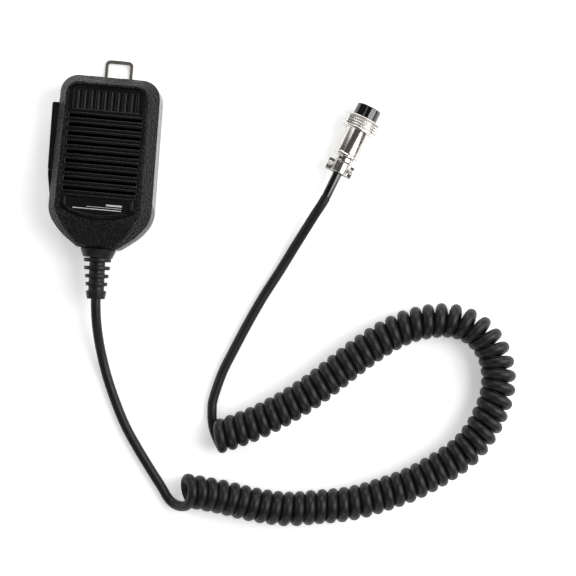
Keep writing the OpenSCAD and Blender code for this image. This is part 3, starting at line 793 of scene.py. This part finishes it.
# the screw posts: where they stand, and the heights of their foot and top
POSTS = [(-22.2, 38.5, 12, 26.2), (22.2, 38.5, 12, 26.2),
         (-21.5, -30, CHIN_JOINT_Z, 26), (21.5, -30, CHIN_JOINT_Z, 26)]
POST_R, POST_BORE, BORE_DEPTH = 2.8, 1.35, 8


def front_cover():
    """The grained shell round the panel, with its four screw posts inside."""
    bm = bmesh.new()
    rings = [[bm.verts.new(place(*p)) for p in ring] for ring in front_rings()]
    for low, high in zip(rings, rings[1:] + rings[:1]):
        for k, a in enumerate(low):
            n = (k + 1) % len(low)
            bm.faces.new((a, low[n], high[n], high[k]))
    for x, y, foot, top in POSTS:
        part = bmesh.new()
        add_lathe(part, [(0, foot + BORE_DEPTH), (POST_BORE, foot + BORE_DEPTH), (POST_BORE, foot),
                         (POST_R, foot), (POST_R, top), (0, top)], sides=32)
        bmesh.ops.translate(part, vec=place(x, y), verts=part.verts)
        spare = bpy.data.meshes.new("post")
        part.to_mesh(spare)
        part.free()
        bm.from_mesh(spare)
        bpy.data.meshes.remove(spare)
    obj = finished("front_cover_moulding", bm, 50)
    return dress(obj, "cover_grained", "housing", "front_cover")


front_cover()
refined("rear_cover", "cover_smooth", 0.22)
refined("grille_panel", "panel_matte", 0.34, 3)
refined("label_plate", "label_gloss", 0.1)


SLOTS, SLOT_PITCH, MIDDLE_SLOT_Y = 9, 4.95, 4
RIDGE_OFF = 1.49  # from the slot's middle to the ridge's
RIDGE_HALF, RIDGE_HIGH, RIDGE_DEEP = 0.6, 0.32, 0.45
RIDGE_ENDS = ((-19.8, 0.3), (-19.1, 1.0), (19.1, 1.0), (19.8, 0.3))


def grille_ridges():
    """A rounded ridge along each side of every slot, tapered at its two ends."""
    bm = bmesh.new()
    crown = [math.radians(a) for a in range(0, 181, 20)]
    middles = [MIDDLE_SLOT_Y + SLOT_PITCH * (slot - SLOTS // 2) + side * RIDGE_OFF
               for slot in range(SLOTS) for side in (-1, 1)]
    for middle in middles:
        rings = []
        for x, size in RIDGE_ENDS:
            half = RIDGE_HALF * (0.5 + size / 2)
            outline = [(half, -RIDGE_DEEP)]
            outline += [(half * math.cos(a), RIDGE_HIGH * math.sin(a) * size) for a in crown]
            outline += [(-half, -RIDGE_DEEP)]
            rings.append([bm.verts.new(Vector((x, middle + y, PANEL_Z + z)) * MM)
                          for y, z in outline])
        for one, two in zip(rings, rings[1:]):
            for k in range(len(one)):
                bm.faces.new((one[k - 1], one[k], two[k], two[k - 1]))
        bm.faces.new(rings[0])
        bm.faces.new(rings[-1])
    laid(finished("grille_ridges", bm, 50), "panel_matte")


grille_ridges()


LABEL_Z = PANEL_Z - 0.1
INK, SUNK = 0.03, 0.01  # thickness of the print, and how far it sits in the label
RULES = (("label_rule_short", 4.5, 13.2, -23.4, 0.9),
         ("label_rule_thin", -6.0, 13.2, -24.8, 0.25),
         ("label_rule_long", -13.5, 13.0, -26.0, 0.45))


def label_rules():
    """Three plain rules printed across the label, at its right-hand end."""
    foot = LABEL_Z - SUNK
    for name, left, right, y, width in RULES:
        bm = bmesh.new()
        add_block(bm, rectangle(left, right, y - width / 2, y + width / 2), foot, foot + INK)
        laid(finished(name, bm), "label_print")


label_rules()
refined("ptt_lever", "lever_plastic", 0.15, 3)


def gap_shade_strip():
    """A thin dark strip of rubber over the lever's lower end face, between it and the guard: a dark
    sheet put in as painted shade for that gap.
    """
    bm = bmesh.new()
    # a dark sheet as painted shade, just in front of the lever's lower end face
    add_block(bm, rectangle(-31.1, -26.6, -5.73, -5.44), 6.2, 17.4, 0.04)
    laid(finished("lever_gap_shade_strip", bm), "boot_rubber")


# painted shade in the gap between the lever's lower end and the guard
gap_shade_strip()
refined("up_button", "button_plastic", 0.4, 3)
refined("down_button", "button_plastic", 0.4, 3)
refined("hanger", "hanger_steel", 0.3, 3)
refined("hanger_screws", "screw_steel", 0.08)
refined("case_screws", "screw_black", 0.08)


# ---- strain relief and plug ----
RELIEF_AXIS = (Matrix.Translation(place(0, -BOTTOM_END, RELIEF_Z))
               @ Matrix.Rotation(math.pi / 2, 4, "X"))
PLUG_AXIS = (Matrix.Translation(place(*PLUG_END)) @ Matrix.Rotation(-PLUG_TURN, 4, "Z")
             @ Matrix.Rotation(-math.pi / 2, 4, "X"))
RELIEF_LEAN = math.radians(2.7)
RELIEF_BEND = 5.0
SLEEVE_R, SLEEVE_LENGTH = 2.65, 26
KNURL_LOW, KNURL_HIGH, KNURL_DEPTH, KNURL_COUNT = 41.9, 48.1, 0.5, 52
KNURL_LEAN = 1.092  # radians of the pattern's wave for each millimetre along the ring
CLAMP_LOW, CLAMP_HIGH = 14.8, 21.6
CLAMP_R, EAR_REACH, EAR_THICK, EAR_GAP = 5.0, 7.85, 1.7, 0.2


def strain_relief():
    """Flange, neck and flare, then four shrinking rings and an end block that lean a little."""
    base = [(0, -4.4), (7.4, -4.4), (7.4, -2.5), (6.4, -2.5), (6.4, 0.1), (9.4, 0.1), (9.8, 0.6),
            (8.2, 4.7), (7.7, 5.0), (0, 5.0)]
    turned("strain_relief_boot", "relief_rubber", "housing", RELIEF_AXIS, [base], ["strain_relief"],
           corner=0.35, sides=72)
    rings = [(7.6, 6.3), (7.25, 10.77), (6.6, 15.24), (6.1, 19.71)]
    profile = [(0, 4.2), (4.4, 4.2)]
    for radius, middle in rings:
        profile += [(4.4, middle - 1.05), (radius, middle - 1.05), (radius - 0.15, middle + 1.05),
                    (4.4, middle + 1.05)]
    profile += [(4.4, 23.4), (5.55, 23.4), (5.65, 23.9), (5.0, 27.7), (4.7, 28.0), (0, 28.0)]
    to_bend = Matrix.Translation((0, 0, RELIEF_BEND * MM))
    leaning = RELIEF_AXIS @ to_bend @ Matrix.Rotation(RELIEF_LEAN, 4, "Y") @ to_bend.inverted()
    turned("strain_relief_rings", "relief_rubber", "housing", leaning, [profile], [],
           corner=0.35, sides=72)


def knurl(radius, height, angle):
    """The coupling ring's diamond knurl, between its plain edges."""
    if radius < RING_D / 2 - 0.15 or not KNURL_LOW < height < KNURL_HIGH:
        return radius
    lean = (height - (KNURL_LOW + KNURL_HIGH) / 2) * KNURL_LEAN
    a = abs(math.sin(KNURL_COUNT / 2 * angle + lean))
    b = abs(math.sin(KNURL_COUNT / 2 * angle - lean))
    edge = min((height - KNURL_LOW) / 0.4, (KNURL_HIGH - height) / 0.4, 1)
    return radius - KNURL_DEPTH * (1 - min(a, b)) * edge


def plug():
    """The cord's plug: sleeve, shell with its neck, clamp, insert, contacts and coupling ring."""
    sleeve = [(0, 0), (SLEEVE_R - 0.15, 0), (SLEEVE_R, 0.4), (SLEEVE_R, SLEEVE_LENGTH),
              (0, SLEEVE_LENGTH)]
    made = [turned("plug_sleeve_tube", "sleeve_gloss", "housing", PLUG_AXIS, [sleeve],
                   ["plug_sleeve"], sides=64)]
    shell = [(2.8, 24.9), (6.75, 24.9), (7.1, 25.3), (7.1, 26.1), (6.75, 26.6), (6.9, 27.1),
             (6.9, 41.9), (7.9, 42.0), (7.9, 43.1), (6.25, 43.1), (6.25, 32.0), (2.8, 32.0)]
    neck = [(2.75, 21.9), (4.85, 21.9), (4.95, 22.4), (4.95, 25.1), (2.75, 25.1)]
    bm = bmesh.new()
    add_lathe(bm, shell, 0.3)
    add_lathe(bm, neck, 0.25)
    obj = finished("plug_shell_turned", bm, 40)
    obj.matrix_world = PLUG_AXIS
    made.append(dress(obj, "plug_nickel", "housing", "plug_shell"))
    made.append(saddle("plug_shell_saddle", 1, CLAMP_LOW))
    made.append(saddle("cable_clamp_saddle", -1, CLAMP_LOW + 0.4, "cable_clamp"))
    made.append(refined("clamp_screws", "screw_steel", 0.06))
    made.append(refined("plug_insert", "plug_phenolic", 0.2))
    made.append(refined("plug_contacts", "contact_brass", 0.05))
    ring = [(7.05, 40.9), (9.1, 40.9), (9.6, 41.4)]
    ring += [(9.6, 41.4 + 0.13 * k) for k in range(1, 53)]
    ring += [(9.6, 48.2), (9.0, 48.8), (8.0, 48.8), (8.0, 41.9), (7.05, 41.9)]
    made.append(turned("coupling_ring_knurled", "plug_nickel", "coupling_ring", PLUG_AXIS, [ring],
                       ["coupling_ring"], corner=0.05, sides=520, sharp=80, shape=knurl))
    return made


def saddle(name, side, start, *nodes):
    """Half of the cable clamp: a bridge over the sleeve with an ear on each side."""
    bm = bmesh.new()
    under, top, foot = SLEEVE_R + 0.08, EAR_THICK + EAR_GAP, CLAMP_R - 0.1
    outline = [(EAR_REACH, EAR_GAP), (EAR_REACH, top), (foot, top)]
    first = math.asin(top / CLAMP_R)
    for k in range(1, 24):
        a = first + (math.pi - 2 * first) * k / 24
        outline.append((CLAMP_R * math.cos(a), CLAMP_R * math.sin(a)))
    outline += [(-foot, top), (-EAR_REACH, top), (-EAR_REACH, EAR_GAP)]
    for k in range(25):
        a = math.pi - math.pi * k / 24
        outline.append((under * math.cos(a), max(under * math.sin(a), EAR_GAP)))
    add_block(bm, [Vector((x, side * y)) for x, y in outline], start, CLAMP_HIGH)
    bmesh.ops.dissolve_limit(bm, angle_limit=0.01, verts=bm.verts, edges=bm.edges)
    obj = soften(finished(name, bm), 0.35, 3, 40)
    obj.matrix_world = PLUG_AXIS
    return dress(obj, "plug_nickel", "housing", *nodes)


strain_relief()
plug_pieces = plug()


# ---- inside ----
RED_ROUTE = [(7.8, 14, 19), (10, 9, 21), (9, 1, 24), (5, -5, 25), (-3, -8.5, 24.5), (-9, -12, 22),
             (-10, -15, 19.5), (-10, -16, 17.8), (-10, -16, 16.65)]
BLACK_ROUTE = [(7.8, 12, 18.6), (8.5, 4, 19.5), (8.5, -4, 20), (4, -10, 19.5), (3, -14, 18.8),
               (3, -15.2, 17.8), (3, -15.2, 16.65)]


def wires():
    """The capsule's two leads, and the seven wires from the cable to the board."""
    red = tube("capsule_wire_red", smooth(RED_ROUTE, 6), 0.6)
    black = tube("capsule_wire_black", smooth(BLACK_ROUTE, 6), 0.6)
    dress(red, "wire_red", "housing", "capsule_wires")
    dress(black, "boot_rubber", "housing")
    for k in range(7):
        x = k - 3
        end = WIRE_PITCH * x - 0.95
        route = [(0.6 * x, -33.3, RELIEF_Z), (1.05 * x, -30.5, RELIEF_Z + 2.5),
                 (1.6 * x, -28, RELIEF_Z + 4.6), (end, -26, RELIEF_Z + 5.1),
                 (end, -24.3, RELIEF_Z + 5.1)]
        obj = tube("cord_wire_" + str(k + 1), smooth(route, 5), 0.28, 3)
        dress(obj, "wire_mixed", "housing", *(["cord_wires"] if k == 0 else []))


wires()
INSIDE_PIECES = (("ptt_pin", "pin_steel", 0.15), ("ptt_switch", "switch_plastic", 0.15),
                 ("ptt_plunger", "plunger_plastic", 0.15), ("up_switch", "switch_plastic", 0.15),
                 ("down_switch", "switch_plastic", 0.15), ("circuit_board", "board_green", 0.08),
                 ("board_screws", "screw_steel", 0.06), ("board_parts", "parts_dark", 0.12),
                 ("wire_header", "header_ivory", 0.12), ("capsule_boot", "boot_rubber", 0.3),
                 ("mic_capsule", "capsule_metal", 0.12))
for node, slot, width in INSIDE_PIECES:
    refined(node, slot, width)
capsule_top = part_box("mic_capsule")[1]
FELT_AXIS = Matrix.Translation((place(0, 0).x, place(0, 14).y, capsule_top[2]))
FELT = [(0, -0.5), (1.0, -0.5), (1.0, 0.02), (4.6, 0.02), (4.6, 0.25), (0, 0.25)]
turned("capsule_felt", "boot_rubber", "housing", FELT_AXIS, [FELT], [], corner=0.1, sides=48)
refined("cord_clip", "screw_steel", 0.1)
refined("clip_screws", "screw_steel", 0.06)


def lever_spring():
    """The lever's spring, copied from the CAD spring into a mesh of its own."""
    bm = bmesh.new()
    bm.from_mesh(frame["nodes"]["ptt_spring"].data)
    bmesh.ops.remove_doubles(bm, verts=bm.verts, dist=2e-6)
    obj = dress(finished("ptt_spring_coil", bm, 75), "spring_steel", "housing", "ptt_spring")
    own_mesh(obj)


lever_spring()
repainted("cable_end", "cable_jacket")


# ---- lights and floor ----
# softboxes round the middle of the part: offset and size in metres, power in watts
SOFTBOXES = (("right_softbox", (0.92, 0.15, 0.80), (0.85, 1.2), 17),
             ("left_softbox", (-1.0, 0.15, 0.58), (0.5, 1.1), 3),
             ("far_softbox", (0.0, 1.05, 0.55), (1.1, 0.4), 8),
             ("near_softbox", (0.0, -1.05, 0.55), (1.1, 0.4), 3.5))
FLOOR_REACH = 6.0
FLOOR_GLOW = 0.35
WORLD_COLOUR, WORLD_STRENGTH = (1, 0.97, 0.94, 1), 0.09


def make_floor():
    """A white table top that glows a little, as paper lit from all round looks."""
    r = FLOOR_REACH
    mesh = bpy.data.meshes.new("floor")
    mesh.from_pydata([(-r, -r, 0), (r, -r, 0), (r, r, 0), (-r, r, 0)], [], [(0, 1, 2, 3)])
    floor = shown("floor", mesh)
    look = Look("floor_white")
    look.colour(look.ramp(look.noise(60), (0.95, 0.95, 0.955), (0.965, 0.965, 0.97)))
    look.roughness(look.ramp(look.noise(8), 0.75, 0.85))
    look.shader.inputs["Emission Color"].default_value = (1, 1, 1, 1)
    look.shader.inputs["Emission Strength"].default_value = FLOOR_GLOW
    floor.data.materials.append(look.mat)


def make_studio():
    """Four softboxes aimed at the middle of the part, and a dim warm room."""
    middle = place(100, -60)
    for name, offset, size, power in SOFTBOXES:
        data = bpy.data.lights.new(name, "AREA")
        data.shape = "RECTANGLE"
        data.size, data.size_y = size
        data.energy = power
        obj = shown(name, data)
        obj.location = middle + Vector(offset)
        obj.rotation_euler = (-Vector(offset)).to_track_quat("-Z", "Y").to_euler()
    world = bpy.data.worlds.new("world")
    bpy.context.scene.world = world
    world.use_nodes = True
    background = world.node_tree.nodes["Background"]
    background.inputs["Color"].default_value = WORLD_COLOUR
    background.inputs["Strength"].default_value = WORLD_STRENGTH
    bpy.context.scene.view_settings.view_transform = "Standard"


make_floor()
make_studio()
